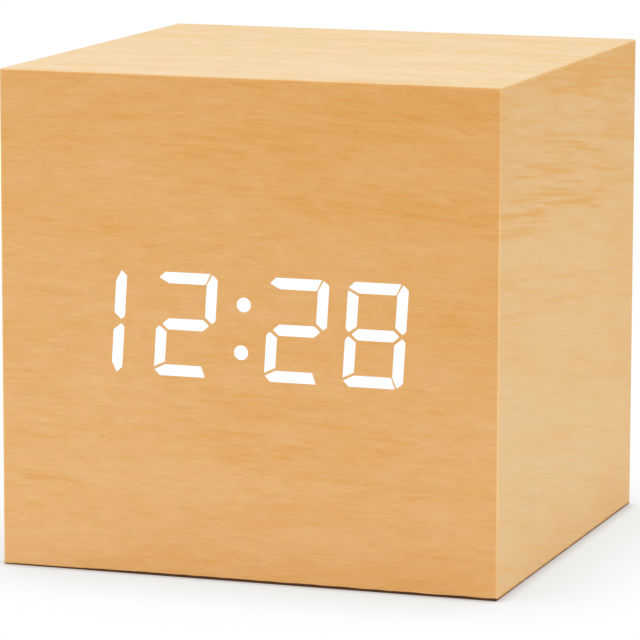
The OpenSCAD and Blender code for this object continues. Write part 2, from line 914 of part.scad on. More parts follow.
module rear_panel_screws() {
    color("#3a3a3c") for (side = [-1, 1]) {
        len = panel_t - counterbore_depth + panel_screw_depth - panel_screw_spare;
        screw(panel_y1 - counterbore_depth, 1, len, side * panel_screw_x, panel_screw_z);
    }
}

// Buttons: a dished cap with a flange behind the panel, over a switch with its plunger

module button_cap(i) {
    r = button_d / 2;
    top = panel_t + button_rise;
    color("#2c2c30") at_button(i) translate([0, panel_y0, 0]) rotate([-90, 0, 0]) rotate_extrude() polygon([
        [0, -flange_t], [r + flange_over, -flange_t], [r + flange_over, 0], [r, 0],
        [r, top - button_edge], [r - button_edge, top],
        [r / 2, top - button_dish / 2], [0, top - button_dish]
    ]);
}

module set_button() {
    button_cap(1);
}

module up_button() {
    button_cap(0);
}

module down_button() {
    button_cap(-1);
}

plunger_y0 = key_y1 + switch_h - plunger_in;
plunger_y1 = panel_y0 - flange_t;

module plunger(i) {
    color("#d8d2c0") at_button(i) rod_y(plunger_r, plunger_y0, plunger_y1, 0, 0);
}

module set_plunger() {
    plunger(1);
}

module up_plunger() {
    plunger(0);
}

module down_plunger() {
    plunger(-1);
}

module key_switch(i) {
    well_y0 = plunger_y0 - button_travel - plunger_room;
    color("#58585c") at_button(i) difference() {
        span([-switch_s / 2, key_y1, -switch_s / 2], [switch_s / 2, key_y1 + switch_h, switch_s / 2]);
        rod_y(plunger_r + plunger_gap, well_y0, key_y1 + switch_h + cut, 0, 0);
    }
}

module set_switch() {
    key_switch(1);
}

module up_switch() {
    key_switch(0);
}

module down_switch() {
    key_switch(-1);
}

module key_board() {
    notch_x = hollow_x - block_s - key_notch_gap;
    notch_z = hollow_z1 - block_s - key_notch_gap;
    color("#1f5a38") difference() {
        upright(key_y0, key_y1) polygon([
            [-key_x, key_z0], [key_x, key_z0], [key_x, notch_z], [notch_x, notch_z],
            [notch_x, key_z1], [-notch_x, key_z1], [-notch_x, notch_z], [-key_x, notch_z]
        ]);
        for (side = [-1, 1]) {
            rod_y(screw_r + pcb_hole_gap, key_y0 - cut, key_y1 + cut, side * post_x, post_z);
        }
    }
}

module key_board_screws() {
    color("#9a9a98") for (side = [-1, 1]) {
        screw(key_y0, -1, pcb_t + post_screw_depth - post_screw_spare, side * post_x, post_z);
    }
}

usb_y1 = panel_y1 - usb_sink;

module usb_shell() {
    color("#b9bbbe") translate([usb_x, 0, usb_z]) difference() {
        upright(key_y1, usb_y1) slot(usb_w, usb_h);
        upright(key_y1 - cut, usb_y1 + cut) slot(usb_w - 2 * usb_wall, usb_h - 2 * usb_wall);
    }
}

module usb_insert() {
    color("#18181a") translate([usb_x, 0, usb_z]) union() {
        upright(key_y1, key_y1 + usb_floor) slot(usb_w - 2 * usb_wall, usb_h - 2 * usb_wall);
        upright(key_y1, usb_y1 - tongue_usb_sink) square([tongue_usb_w, tongue_usb_t], center = true);
    }
}

module buzzer() {
    color("#202022") difference() {
        rod_y(buzzer_d / 2, key_y1, key_y1 + buzzer_h, buzzer_x, buzzer_z);
        rod_y(buzzer_mouth_r, key_y1 + buzzer_h / 2, key_y1 + buzzer_h + cut, buzzer_x, buzzer_z);
    }
}

module microphone() {
    color("#a8aaac") rod_y(mic_r, key_y1, key_y1 + mic_h, 0, mic_z);
}

// Batteries: neighbours lie head to tail; the outer two have their button towards +X

module battery(i) {
    r = cell_d / 2;
    body = cell_len - cell_button_h;
    way = i % 2 == 0 ? 1 : -1;
    cell_x0 = way * (contact_t - bay_x + spring_len);
    color("#4a6f8a") translate([cell_x0, cell_y, cell_z(i)]) rotate([0, way * 90, 0]) rotate_extrude()
        polygon([
            [0, 0], [r - cell_edge, 0], [r, cell_edge], [r, body - cell_edge], [r - cell_edge, body],
            [cell_button_r, body], [cell_button_r, cell_len], [0, cell_len]
        ]);
}

module battery_1() {
    battery(0);
}

module battery_2() {
    battery(1);
}

module battery_3() {
    battery(2);
}

// Contact spring: a wire coil that narrows from the plate to the cell, straight for one wire
// diameter at each end; t runs from 0 at the plate to 1 at the cell
spring_steps = spring_turns * spring_rings;
spring_lead = 2 * wire_r;
spring_coil = spring_len - 2 * spring_lead;
function coil_point(t) =
    let (turn = 360 * spring_turns * t, r = spring_r0 + (spring_r1 - spring_r0) * t)
    [spring_lead + spring_coil * t, r * cos(turn), r * sin(turn)];
function coil_way(t) =
    let (turn = 360 * spring_turns * t, r = spring_r0 + (spring_r1 - spring_r0) * t)
    let (k = 2 * PI * spring_turns * r, dr = spring_r1 - spring_r0)
    [spring_coil, dr * cos(turn) - k * sin(turn), dr * sin(turn) + k * cos(turn)];
COIL = [for (i = [0 : spring_steps]) coil_point(i / spring_steps)];
SPRING_PATH = concat(
    [[0, spring_r0, 0]],
    COIL,
    [[spring_len, COIL[spring_steps][1], COIL[spring_steps][2]]]
);
along = [1, 0, 0];
SPRING_WAY = concat(
    [along],
    [unit(along + unit(coil_way(0)))],
    [for (i = [1 : spring_steps - 1]) unit(coil_way(i / spring_steps))],
    [unit(along + unit(coil_way(1)))],
    [along]
);
function unit(v) = v / norm(v);
// A ring of points square to the wire at a path point, starting from the side away from the axis
function wire_ring(p, way) =
    let (out = unit([0, p[1], p[2]]), side = unit(cross(way, out)), up = cross(side, way))
    [for (k = [0 : spring_sides - 1]) p + wire_r * (up * cos(60 * k) + side * sin(60 * k))];
SPRING_RINGS = [for (i = [0 : len(SPRING_PATH) - 1]) wire_ring(SPRING_PATH[i], SPRING_WAY[i])];
spring_last = len(SPRING_PATH) - 1;
// Least gap between one turn of the wire and the next, measured on the path's points
spring_least_gap = min([
    for (i = [0 : spring_steps], j = [0 : spring_steps])
        if (j - i >= spring_rings / 2) norm(COIL[i] - COIL[j]) - 2 * wire_r
]);
echo(spring_least_gap = spring_least_gap);

module contact_spring() {
    points = [for (ring = SPRING_RINGS, p = ring) p];
    walls = [
        for (i = [0 : spring_last - 1], k = [0 : spring_sides - 1], half = [0, 1])
            let (n = (k + 1) % spring_sides, a = i * spring_sides, b = a + spring_sides)
            half == 0 ? [a + k, b + k, b + n] : [a + k, b + n, a + n]
    ];
    ends = [
        [for (k = [0 : spring_sides - 1]) k],
        [for (k = [spring_sides - 1 : -1 : 0]) spring_last * spring_sides + k]
    ];
    polyhedron(points, concat(walls, ends));
}

module contact_springs() {
    color("#c8cacc") for (i = [0 : cell_count - 1]) {
        way = i % 2 == 0 ? 0 : 180;
        shift = i % 2 == 0 ? contact_t - bay_x : bay_x - contact_t;
        translate([shift, cell_y, cell_z(i)]) rotate([0, 0, way]) contact_spring();
    }
}

// A contact plate on an end wall; side is 1 at +X and -1 at -X
module contact_plate(side, z) {
    x = side > 0 ? bay_x - contact_t : -bay_x;
    half = plate_s / 2;
    span([x, cell_y - half, z - half], [x + contact_t, cell_y + half, z + half]);
}

// An end plate with a solder tab through the floor of the bay
module end_contact(side, z) {
    x = side > 0 ? bay_x - contact_t : -bay_x;
    union() {
        contact_plate(side, z);
        span([x, tab_y0, z - tab_w / 2], [x + contact_t, cell_y, z + tab_w / 2]);
    }
}

module positive_contact() {
    color("#c8cacc") end_contact(1, cell_z(cell_count - 1));
}

module negative_contact() {
    color("#c8cacc") end_contact(-1, cell_z(0));
}

module link_contacts() {
    color("#c8cacc") for (i = [0 : cell_count - 2]) {
        side = i % 2 == 0 ? 1 : -1;
        x = side > 0 ? bay_x - contact_t : -bay_x;
        union() {
            contact_plate(side, cell_z(i));
            contact_plate(side, cell_z(i + 1));
            span([x, cell_y - link_w / 2, cell_z(i)], [x + contact_t, cell_y + link_w / 2, cell_z(i + 1)]);
        }
    }
}

// A quarter bend of a lead in Y and Z, about (y, z), from the angle start
module lead_bend(r, y, z, start) {
    translate([0, y, z]) rotate([90, 0, 90]) rotate([0, 0, start]) rotate_extrude(angle = 90)
        translate([r, 0]) circle(d = lead_d);
}

// A battery lead: from a solder tab, down the outside of the bay's floor, over it to the key board
module lead(x, tab_z) {
    translate([x, 0, 0]) union() {
        rod_y(lead_d / 2, lead_y + lead_bend_in, tab_y0, 0, tab_z);
        lead_bend(lead_bend_in, lead_y + lead_bend_in, tab_z + lead_bend_in, 180);
        translate([0, lead_y, tab_z + lead_bend_in])
            cylinder(d = lead_d, h = lead_z1 - lead_bend_out - tab_z - lead_bend_in);
        lead_bend(lead_bend_out, lead_y + lead_bend_out, lead_z1 - lead_bend_out, 90);
        rod_y(lead_d / 2, lead_y + lead_bend_out, key_y0, 0, lead_z1);
    }
}

module red_lead() {
    color("#b8322a") lead(lead_x, cell_z(cell_count - 1));
}

module black_lead() {
    color("#1a1a1a") lead(-lead_x, cell_z(0));
}

// Battery door: a plate with a rolled top edge on two hinge pins, a thumb tab and grip ribs
module battery_door() {
    color("#1c1c1e") union() {
        upright(panel_y1 - door_t, panel_y1) door_2d(0);
        rod_x(hinge_r, -door_x, door_x, hinge_y, hinge_z);
        rod_x(pin_d / 2, -door_x - pin_len, door_x + pin_len, hinge_y, hinge_z);
        span([-thumb_w / 2, panel_y1 - door_t, door_z0 - thumb_h], [thumb_w / 2, panel_y1, door_z0 + cut]);
        for (i = [0 : grip_count - 1]) {
            z = door_z0 + thumb_h + grip_pitch * (i + 1);
            span([-grip_w / 2, panel_y1 - door_t / 2, z], [grip_w / 2, panel_y1 + grip_rise, z + grip_t]);
        }
    }
}

front_board();
left_board();
right_board();
top_board();
base_board();
corner_blocks();
veneer_wrap();
veneer_top();
veneer_base();
veneer_rim();
display_reflector();
hour_tens_digit();
hour_units_digit();
colon_dots();
minute_tens_digit();
minute_units_digit();
unlit_segments();
led_chips();
display_board();
display_board_screws();
controller_chip();
driver_chip();
watch_crystal();
capacitor();
chip_resistors();
display_header();
ribbon_cable();
key_board_header();
rear_panel();
rear_panel_screws();
set_button();
up_button();
down_button();
set_plunger();
up_plunger();
down_plunger();
set_switch();
up_switch();
down_switch();
key_board();
key_board_screws();
usb_shell();
usb_insert();
buzzer();
microphone();
battery_1();
battery_2();
battery_3();
contact_springs();
positive_contact();
negative_contact();
link_contacts();
red_lead();
black_lead();
battery_door();
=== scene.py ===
"""Looks of the wooden cube alarm clock: veneer, lit digits, rear panel and what lies inside.

The CAD solids keep their shapes and get materials here. New pieces are the printed and moulded
signs on the rear. Lengths are millimetres unless a comment says metres, the unit that Blender works
in.
"""

import math
from collections import namedtuple

import bpy
import numpy as np
from mathutils import Matrix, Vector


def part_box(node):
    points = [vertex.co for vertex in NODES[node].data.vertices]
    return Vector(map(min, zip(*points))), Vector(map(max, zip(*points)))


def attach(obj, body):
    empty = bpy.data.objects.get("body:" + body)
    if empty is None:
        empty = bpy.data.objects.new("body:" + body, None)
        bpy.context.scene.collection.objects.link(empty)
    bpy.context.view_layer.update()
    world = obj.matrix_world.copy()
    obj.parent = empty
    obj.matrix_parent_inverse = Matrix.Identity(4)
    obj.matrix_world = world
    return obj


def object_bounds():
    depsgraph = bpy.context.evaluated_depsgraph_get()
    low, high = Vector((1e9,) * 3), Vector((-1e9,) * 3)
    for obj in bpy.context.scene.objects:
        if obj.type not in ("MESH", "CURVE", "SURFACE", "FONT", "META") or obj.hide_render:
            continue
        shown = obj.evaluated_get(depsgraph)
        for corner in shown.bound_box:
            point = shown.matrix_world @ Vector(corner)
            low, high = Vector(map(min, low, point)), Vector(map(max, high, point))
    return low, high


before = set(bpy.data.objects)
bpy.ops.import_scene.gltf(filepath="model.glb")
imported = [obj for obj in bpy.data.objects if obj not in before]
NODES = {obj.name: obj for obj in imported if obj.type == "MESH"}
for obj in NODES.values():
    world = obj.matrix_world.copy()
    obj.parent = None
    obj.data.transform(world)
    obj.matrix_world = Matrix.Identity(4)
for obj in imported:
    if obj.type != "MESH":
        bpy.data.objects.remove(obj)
CAD_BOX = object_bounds()
MM = 0.001
WHITE = (1, 1, 1, 1)
X, Y, Z = range(3)
UNIT = (0.0, 1.0)
NOISE_RANGE = (0.3, 0.7)  # most of a noise lies in it


def node_box(name):
    """Lowest and highest corner of a CAD node."""
    low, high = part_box(name)
    return np.array(low) / MM, np.array(high) / MM


LOW, HIGH = (np.array(corner) / MM for corner in CAD_BOX)
MIDDLE, HALF = (LOW + HIGH) / 2, (HIGH - LOW) / 2
LEFT_X, FRONT_Y = float(LOW[X]), float(LOW[Y])
HALF_WIDTH, HEIGHT = float(HALF[X]), float(HIGH[Z] - LOW[Z])


class Tree:
    """Adds nodes to one node tree. A socket is linked where it is given an output, and set
    otherwise."""

    MIX_SHARE, MIX_FIRST, MIX_SECOND, MIX_RESULT = 0, 6, 7, 2  # the Mix node's sockets for colours

    def __init__(self, tree):
        self.tree = tree

    def put(self, socket, value):
        if isinstance(value, bpy.types.NodeSocket):
            self.tree.links.new(value, socket)
        else:
            socket.default_value = value

    def add(self, kind, inputs, out=0, **settings):
        """A new node with its settings and inputs; gives the output that out names."""
        node = self.tree.nodes.new(kind)
        for key, value in settings.items():
            setattr(node, key, value)
        for key, value in inputs.items():
            self.put(node.inputs[key], value)
        return node.outputs[out]

    def math(self, operation, a, b=0.0, c=0.0):
        return self.add("ShaderNodeMath", {0: a, 1: b, 2: c}, operation=operation)

    def sum(self, *terms):
        """Sum of products: each term is a pair of a value and its share."""
        total = 0.0
        for value, share in terms:
            total = self.math("MULTIPLY_ADD", value, share, total)
        return total

    def span(self, value, over, to=UNIT, kind="SMOOTHSTEP"):
        """A smooth step from to's first number to its second, while value passes the range over."""
        inputs = {"Value": value, "From Min": over[0], "From Max": over[1],
                  "To Min": to[0], "To Max": to[1]}
        return self.add("ShaderNodeMapRange", inputs, interpolation_type=kind)

    def ramp(self, value, over, to=UNIT):
        """As span, but straight over the range."""
        return self.span(value, over, to, kind="LINEAR")

    def spread(self, noise, to=UNIT):
        """A noise spread over the range to."""
        return self.span(noise, NOISE_RANGE, to)

    def join(self, x, y, z):
        return self.add("ShaderNodeCombineXYZ", {0: x, 1: y, 2: z})

    def split(self, value, kind="ShaderNodeSeparateXYZ"):
        """The three parts of a vector, or of a colour where kind says so."""
        node = self.tree.nodes.new(kind)
        self.put(node.inputs[0], value)
        return node.outputs[:3]

    def noise(self, vector, scale=1.0, detail=2.0, roughness=0.5):
        inputs = {"Vector": vector, "Scale": scale, "Detail": detail, "Roughness": roughness}
        return self.add("ShaderNodeTexNoise", inputs)

    def mix(self, share, first, second, blend="MIX"):
        inputs = {self.MIX_SHARE: share, self.MIX_FIRST: first, self.MIX_SECOND: second}
        return self.add("ShaderNodeMix", inputs, out=self.MIX_RESULT, data_type="RGBA",
                        blend_type=blend)

    def scaled(self, colour, share):
        return self.add("ShaderNodeVectorMath", {0: colour, "Scale": share}, operation="SCALE")

    def place(self):
        """Object coordinates in millimetres, as a vector and as x, y and z."""
        vector = self.scaled(self.add("ShaderNodeTexCoord", {}, out="Object"), 1 / MM)
        return vector, *self.split(vector)

    def use(self, group, **inputs):
        """Places a node group and gives its outputs by name."""
        node = self.tree.nodes.new("ShaderNodeGroup")
        node.node_tree = group
        for key, value in inputs.items():
            self.put(node.inputs[key], value)
        return {socket.name: socket for socket in node.outputs}

    def bump(self, height, depth, strength):
        """Normal of a surface whose height runs from 0 to depth."""
        inputs = {"Height": height, "Distance": depth * MM, "Strength": strength}
        return self.add("ShaderNodeBump", inputs)


def srgb(red, green, blue):
    """Linear colour of an sRGB triple from 0 to 255."""
    share = np.array([red, green, blue]) / 255
    linear = np.where(share <= 0.04045, share / 12.92, ((share + 0.055) / 1.055) ** 2.4)
    return (*linear.tolist(), 1.0)


def group(name, outputs, values=(), vectors=()):
    """A new shader node group: its tree, its inputs by name and a function that sets its outputs.

    outputs and values name the sockets that hold one number, and vectors those that hold three.
    """
    tree = bpy.data.node_groups.new(name, "ShaderNodeTree")
    sockets = [(key, "INPUT", "NodeSocketVector") for key in vectors]
    sockets += [(key, "INPUT", "NodeSocketFloat") for key in values]
    sockets += [(key, "OUTPUT", "NodeSocketFloat") for key in outputs]
    for key, side, kind in sockets:
        tree.interface.new_socket(name=key, in_out=side, socket_type=kind)
    entry = tree.nodes.new("NodeGroupInput")
    leave = tree.nodes.new("NodeGroupOutput")
    t = Tree(tree)

    def finish(**results):
        for key, value in results.items():
            t.put(leave.inputs[key], value)
        return tree

    return t, {socket.name: socket for socket in entry.outputs}, finish


def wood_grain_group():
    """Grain of a sliced veneer sheet, along and across in millimetres.

    The fibres follow the sheet, pushed across by a slow and a quick noise (Sway). The tone adds up
    a broad mottle stretched along the fibres and finer bands, both times Figure, and takes off dark
    streaks times Flame, less what they take off on the whole: they lie where a stretched noise
    passes a limit, and gather where the mottle is dark. The fleck adds up hair-fine fibres and
    short flecks, dark where another noise passes a limit and pale where it falls short of one.
    """
    t, given, finish = group("wood_grain", ("Tone", "Fleck", "Height"),
                             values=("Along", "Across", "Seed", "Sway", "Figure", "Flame"))
    along, across, seed = given["Along"], given["Across"], given["Seed"]
    usual_streaks, middle_tone = 0.125, 0.5

    def stretched(over_along, over_across, shift, up, detail=2.0, roughness=0.5):
        """Noise about 0, with its waves per millimetre along and across. shift sets layers
        apart."""
        vector = t.join(t.math("MULTIPLY", along, over_along), t.math("MULTIPLY", up, over_across),
                        t.math("ADD", seed, shift))
        return t.math("SUBTRACT", t.noise(vector, detail=detail, roughness=roughness), 0.5)

    slow = stretched(0.03, 0.05, 0.0, across, detail=1.0)
    quick = stretched(0.15, 0.35, 4.0, across, detail=1.0)
    push = t.sum((slow, 3.0), (quick, 0.8))
    pushed = t.math("MULTIPLY_ADD", given["Sway"], push, across)
    mottle = stretched(0.05, 0.2, 8.0, pushed, detail=3.0)
    bands = stretched(0.26, 1.1, 12.0, pushed)
    fibre = stretched(0.36, 3.6, 16.0, pushed, detail=3.0, roughness=0.6)
    pores = stretched(0.85, 5.6, 20.0, pushed, detail=1.0)
    marks = t.span(stretched(0.17, 1.6, 24.0, pushed), (-0.01, 0.2))
    gathered = t.span(mottle, (0.1, -0.1), (0.15, 1.0))
    dark = t.math("SUBTRACT", usual_streaks, t.math("MULTIPLY", marks, gathered))
    plain = t.sum((mottle, 0.85), (bands, 1.0))
    dark_flecks = t.span(pores, (0.09, 0.25))
    pale_flecks = t.span(pores, (-0.09, -0.25))
    return finish(
        Tone=t.sum((plain, given["Figure"]), (dark, given["Flame"]), (middle_tone, 1.0)),
        Fleck=t.sum((fibre, 0.5), (dark_flecks, -0.26), (pale_flecks, 0.2)),
        Height=t.sum((fibre, 0.7), (pores, 0.3), (0.5, 1.0)),
    )


def arris_group():
    """Arrises of a box, which carry rubbed wear with a painted highlight, and painted shade at the
    foot: Rub is 1 where a point lies near two outer faces at once, and Foot only where one of the
    two is level.

    The distances to the three pairs of faces are taken, and the middle one of them is small only
    near an edge. A slow noise makes the reach of the masks uneven.
    """
    t, given, finish = group("arris_masks", ("Rub", "Foot"), values=("Reach",), vectors=("Place",))
    gaps = []
    for place, middle, half in zip(t.split(given["Place"]), MIDDLE, HALF):
        offset = t.math("ABSOLUTE", t.math("SUBTRACT", place, middle))
        gaps.append(t.math("SUBTRACT", half, offset))
    least = t.math("MINIMUM", gaps[0], gaps[1])
    most = t.math("MAXIMUM", gaps[0], gaps[1])
    second = t.math("MAXIMUM", least, t.math("MINIMUM", most, gaps[2]))
    level = t.math("MAXIMUM", least, gaps[2])
    uneven = t.span(t.noise(given["Place"], scale=0.35), (0.25, 0.75), (0.9, 1.1))
    reach = t.math("MULTIPLY", given["Reach"], uneven)

    def close(gap):
        return t.span(t.math("DIVIDE", gap, reach), (1.0, 0.2))

    return finish(Rub=close(second), Foot=close(level))


def moulded_grain_group():
    """Spark-eroded grain of moulded plastic: a cell noise for the pits, a broad one for wear, and a
    fine one for dust."""
    t, given, finish = group("moulded_grain", ("Shade", "Haze", "Height"),
                             values=("Size",), vectors=("Place",))
    place, size = given["Place"], given["Size"]
    fine = t.add("ShaderNodeVectorMath", {0: place, 1: t.join(size, size, size)},
                 operation="DIVIDE")
    pits = t.add("ShaderNodeTexVoronoi", {"Vector": fine, "Scale": 1.0, "Randomness": 1.0},
                 feature="SMOOTH_F1")
    crumbs = t.noise(fine, scale=0.6, detail=3.0)
    broad = t.noise(place, scale=0.12, detail=3.0)
    dust = t.noise(place, scale=2.4)
    return finish(
        Shade=t.sum((crumbs, 0.6), (broad, 0.4)),
        Haze=t.sum((broad, 0.75), (dust, 0.25)),
        Height=t.sum((pits, 0.7), (crumbs, 0.5)),
    )


def drawn_metal_group():
    """Drawn or rolled metal: a noise on the place times Stretch, and a broad stain."""
    t, given, finish = group("drawn_metal", ("Shade", "Haze", "Height"),
                             vectors=("Place", "Stretch"))
    drawn = t.add("ShaderNodeVectorMath", {0: given["Place"], 1: given["Stretch"]},
                  operation="MULTIPLY")
    lines = t.noise(drawn, detail=3.0, roughness=0.6)
    stain = t.noise(given["Place"], scale=0.5)
    return finish(
        Shade=t.sum((lines, 0.5), (stain, 0.5)),
        Haze=t.sum((stain, 0.6), (lines, 0.4)),
        Height=lines,
    )


def copper_tracks_group():
    """Tracks under solder mask: lines at a pitch, broken and turned by a coarse cell pattern."""
    pitch, line_edge, turned_share, covered_share = 0.8, (0.32, 0.36), 0.5, 0.7
    t, given, finish = group("copper_tracks", ("Track", "Shade"), vectors=("Place",))
    x, _, z = t.split(given["Place"])
    cell = t.add("ShaderNodeTexVoronoi",
                 {"Vector": t.join(x, 0.0, z), "Scale": 0.22, "Randomness": 0.9},
                 out="Color", distance="CHEBYCHEV", feature="F1")
    pick, other_pick, _ = t.split(cell, "ShaderNodeSeparateColor")
    upright, level = (
        t.span(t.math("PINGPONG", t.math("DIVIDE", way, pitch), 0.5), line_edge) for way in (x, z)
    )
    turn = t.math("GREATER_THAN", pick, turned_share)
    track = t.sum((upright, turn), (level, t.math("SUBTRACT", 1.0, turn)))
    covered = t.math("LESS_THAN", other_pick, covered_share)
    return finish(
        Track=t.math("MULTIPLY", track, covered),
        Shade=t.noise(given["Place"], scale=0.6),
    )


WOOD_GRAIN = wood_grain_group()
ARRIS_MASKS = arris_group()
MOULDED = moulded_grain_group()
METAL = drawn_metal_group()
TRACKS = copper_tracks_group()


def material(name, draw, **constants):
    """A material with one Principled surface. draw gives the sockets that change over the surface,
    and constants are set directly on the shader."""
    m = bpy.data.materials.new(name)
    m.use_nodes = True
    t = Tree(m.node_tree)
    shader = next(n for n in m.node_tree.nodes if n.type == "BSDF_PRINCIPLED")
    for key, value in {**constants, **draw(t)}.items():
        t.put(shader.inputs[key], value)
    return m


def grain_colour(t, tone, dark, mid, pale):
    """The colour of a grain tone: dark at 0, mid at a half and pale at 1."""
    low = t.mix(t.ramp(tone, (0.0, 0.5)), dark, mid)
    return t.mix(t.ramp(tone, (0.5, 1.0)), low, pale)


def outer_side(t, x):
    """1 on the faces that look to the left and right, and 0 elsewhere."""
    return t.span(t.math("ABSOLUTE", x), (HALF_WIDTH - 0.25, HALF_WIDTH - 0.1))


def left_right(t, x, left, right):
    """One value on the left half of the case and another on the right half."""
    return t.span(x, (-1.0, 1.0), (left, right))


def even_wear_and_highlight(t, edge, x, z):
    """Arrises rubbed evenly, half through the stain, with a painted highlight in the same pale."""
    return t.math("MULTIPLY", edge["Rub"], 0.5)


def hand_wear_and_highlight(t, edge, x, z):
    """Arrises rubbed, with a painted highlight in the same pale, most at half their height, where
    the clock is held.
    """
    less_above = t.span(z, (36.0, 52.0), (0.85, 0.45))
    less_below = t.span(z, (3.0, 12.0), (0.6, 1.0))
    return t.math("MULTIPLY", edge["Rub"], t.math("MULTIPLY", less_above, less_below))


def painted_foot_shade(t, edge, x, z):
    """Painted contact shade along the foot: a line that gets thinner to the left and along the
    sides.
    """
    thin_left = t.span(x, (LEFT_X, LEFT_X + 20.0), (0.85, 0.38))
    thin_sides = t.math("MULTIPLY", outer_side(t, x), 0.58)
    limit = t.math("MAXIMUM", thin_left, thin_sides)
    return t.span(edge["Foot"], (limit, t.math("ADD", limit, 0.15)))


# How a sheet's grain is drawn: the strength of its bands, the share of dark streaks, the sway of
# the fibres, the slow drift of the tone, which on the wrap holds a painted light from below, and
# the share of fine flecks.
Figure = namedtuple("Figure", "bands flame sway drift fleck")
VARNISH = {"IOR": 1.5, "Specular IOR Level": 0.36}
MATT = (0.70, 0.62)


def veneer(name, sheet, shades, seed, figure, arris, reach=0.25, wear=even_wear_and_highlight, tint=None):
    """Matt-varnished veneer.

    sheet gives the way along and across the grain, figure says how the grain is drawn, and shades
    are the dark, mid and pale of the wood. The arrises take the colour arris over reach millimetres
    where wear says so: the pale of rubbed wear with a painted highlight, and on the base a dark
    line of painted shade. tint, if given, changes the colour where it says, for the sides' painted
    sheen.
    """

    def draw(t):
        place, x, y, z = t.place()
        along, across = sheet(t, x, y, z)
        drawn = figure(t, along, across, z)
        grain = t.use(WOOD_GRAIN, Along=along, Across=across, Seed=seed, Sway=drawn.sway,
                      Figure=drawn.bands, Flame=drawn.flame)
        fleck = t.math("MULTIPLY", grain["Fleck"], drawn.fleck)
        tone = t.sum((grain["Tone"], 1.0), (fleck, 0.4), (drawn.drift, 1.0))
        colour = grain_colour(t, tone, *shades)
        if tint:
            colour = tint(t, colour, tone, x, y, z)
        colour = t.scaled(colour, t.sum((fleck, 0.2), (drawn.drift, 0.15), (1.0, 1.0)))
        edge = t.use(ARRIS_MASKS, Place=place, Reach=reach)
        return {
            "Base Color": t.mix(wear(t, edge, x, z), colour, arris),
            "Roughness": t.span(tone, UNIT, MATT),
            "Normal": t.bump(grain["Height"], depth=0.008, strength=0.25),
        }

    return material(name, draw, **VARNISH)


def wrapped_sheet(t, x, y, z):
    """One sheet over front and sides: along is x plus a part of the way back round the corner,
    because the fibres are longer there. They lie level, bend down a little towards the upper right
    of the front, and run down to the rear: on the right side more so at its foot, on the left side
    only a little."""
    way_back, tilt, bend_start, bend_rate, least_fall = 0.36, 0.02, -6.0, 0.0009, 0.03
    back = t.math("SUBTRACT", y, FRONT_Y)
    along = t.math("MULTIPLY_ADD", t.math("SIGN", x), t.math("MULTIPLY", back, way_back), x)
    right = t.math("MAXIMUM", t.math("SUBTRACT", x, bend_start), 0.0)
    bend = t.math("MULTIPLY", t.math("MULTIPLY", right, right), t.span(z, (24.0, 50.0)))
    on_right = t.math("GREATER_THAN", x, 0.0)
    right_fall = t.ramp(z, (0.0, HEIGHT), (0.17, 0.072))
    fall = t.math("MULTIPLY_ADD", on_right, right_fall, least_fall)
    return along, t.sum((x, tilt), (back, fall), (bend, bend_rate), (z, 1.0))


def flat_sheet(t, x, y, z):
    """A sheet that lies level, with its grain from side to side."""
    return x, y


def rim_sheet(t, x, y, z):
    """Four strips round the rear opening, each with its grain along the strip."""
    strip = 4.5
    upright = t.math("GREATER_THAN", t.math("ABSOLUTE", x), HALF_WIDTH - strip)
    level = t.math("SUBTRACT", 1.0, upright)
    return t.sum((z, upright), (x, level)), t.sum((x, upright), (z, level))


def wrap_figure(t, along, across, z):
    """Bands and dark streaks are even on the front and grow up the sides; the fibres sway a little
    on the front and lie nearly straight on the sides, with fewer flecks; the tone gets paler down
    the sheet, a painted light from below, and to its left, and darker once more along the foot and
    at the top and rear of the sides."""
    away = t.math("ABSOLUTE", along)
    turned = t.span(away, (HALF_WIDTH - 0.5, HALF_WIDTH + 0.2))
    side_bands = t.span(z, (30.0, 54.0), (-0.22, 0.06))
    side_flame = t.span(z, (24.0, 52.0), (-0.12, 0.48))
    # painted light: the tone paler towards the foot, as if lit from the floor below
    down = t.ramp(z, (0.0, HEIGHT), (0.16, -0.16))
    left = t.ramp(along, (-HALF_WIDTH, HALF_WIDTH), (0.065, -0.065))
    foot = t.span(z, (0.0, 10.0), (-0.12, 0.0))
    rear = t.span(away, (43.0, 53.0), (0.0, -0.08))
    side_top = t.span(z, (32.0, 54.0), (0.01, -0.08))
    return Figure(
        bands=t.math("MULTIPLY_ADD", turned, side_bands, 0.52),
        flame=t.math("MULTIPLY_ADD", turned, side_flame, 0.2),
        sway=t.math("MULTIPLY_ADD", turned, -0.45, 0.55),
        drift=t.sum((down, 1.0), (left, 1.0), (foot, 1.0), (rear, 1.0), (side_top, turned)),
        fleck=t.math("MULTIPLY_ADD", turned, -0.35, 1.0),
    )


def top_figure(t, along, across, z):
    """Plain bands with a trace of dark streaks and few flecks, and a tone that gets paler to the
    front."""
    bands = t.span(along, (-15.0, 15.0), (0.7, 0.78))
    drift = t.span(across, (FRONT_Y, -FRONT_Y), (0.04, -0.04))
    return Figure(bands=bands, flame=0.15, sway=0.5, drift=drift, fleck=0.5)


def even_figure(t, along, across, z):
    """Calm bands with a trace of dark streaks, and no drift."""
    bands = t.span(along, (-40.0, 40.0), (0.55, 0.65))
    return Figure(bands=bands, flame=0.15, sway=0.55, drift=0.0, fleck=1.0)


# Dark, mid and pale of the wood. The top's are paler, in part painted sheen and overhead light.
WOOD = srgb(222, 157, 75), srgb(226.3, 171.8, 103.6), srgb(230.8, 187.8, 133.6)
TOP_WOOD_AND_SHEEN = srgb(231, 183, 112), srgb(236.5, 204.5, 155), srgb(242.5, 218, 185)
# the pale of the arrises: rubbed wear and a painted highlight
RUBBED_AND_HIGHLIGHT = srgb(247, 209, 152)
# painted shade: the dark line where the case's foot meets the floor
FOOT_SHADE = srgb(78, 44, 8)
